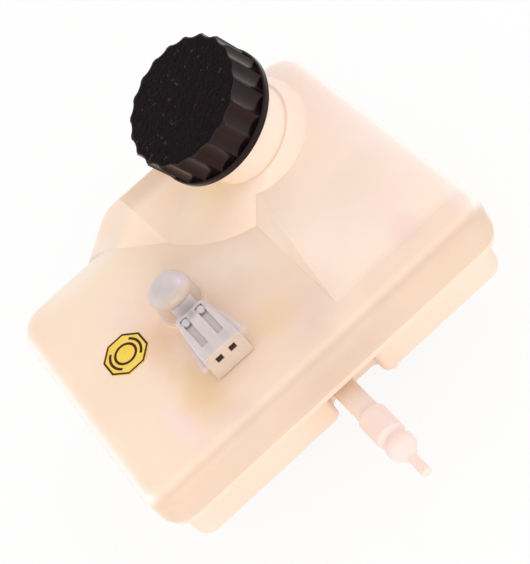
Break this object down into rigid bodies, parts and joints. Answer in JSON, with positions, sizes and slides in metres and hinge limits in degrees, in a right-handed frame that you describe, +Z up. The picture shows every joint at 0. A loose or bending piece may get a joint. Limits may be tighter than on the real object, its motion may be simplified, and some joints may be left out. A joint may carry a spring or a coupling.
{
  "type": "brake fluid reservoir",
  "caption": "Flat translucent two-piece welded fluid tank with a leaning screw-capped filler neck, a level sensor and connector on the roof, a hose nipple in front and outlet stubs below.",
  "frame": {"origin": "on the first outlet stub's axis, in the plane of the tank's underside", "axes": "+X along the tank's width towards the filler neck's side, +Y from the nipple's side to the back, +Z up"},
  "size_m": [0.1633, 0.169, 0.1166],
  "materials": {
    "natural_polypropylene": "satin, translucent",
    "black_plastic": "pebbled top, satin flutes",
    "black_rubber": "matt",
    "white_plastic": "satin",
    "grey_clear_plastic": "satin, translucent",
    "tinned_brass": "bright",
    "nickel_iron_wire": "bright",
    "green_glass": "clear",
    "potting_resin": "matt",
    "ferrite": "matt",
    "yellow_label": "satin"
  },
  "bodies": {
    "tank": {"upper_shell": "natural_polypropylene", "lower_shell": "natural_polypropylene", "strainer_basket": "white_plastic", "sensor_housing": "grey_clear_plastic", "terminal_left": "tinned_brass", "terminal_right": "tinned_brass", "sensor_stem": "grey_clear_plastic", "reed_capsule": "green_glass", "reed_lead_lower": "nickel_iron_wire", "reed_lead_upper": "nickel_iron_wire", "reed_potting": "potting_resin", "float_clip": "white_plastic", "octagon_label": "yellow_label"},
    "cap_inner": {"cap_seal": "black_rubber", "cap_vent_disc": "white_plastic"},
    "cap": {"filler_cap": "black_plastic"},
    "float": {"float_body": "white_plastic", "float_magnet": "ferrite", "float_cover": "white_plastic"}
  },
  "joints": [
    {"name": "cap_lift", "type": "slide", "parent": "tank", "child": "cap_inner", "axis": [-0.3206, 0, 0.9472], "range_m": [0, 0.0321]},
    {"name": "cap_turn", "type": "hinge", "parent": "cap_inner", "child": "cap", "pos_m": [0.032, 0.05, 0.063], "axis": [-0.3206, 0, 0.9472], "range_deg": [0, 1440]},
    {"name": "float_rise", "type": "slide", "parent": "tank", "child": "float", "axis": [0, 0, 1], "range_m": [0, 0.015]}
  ],
  "couplings": [
    {"joint": "cap_lift", "follows": "cap_turn", "m_per_rad": 0.0012732}
  ]
}
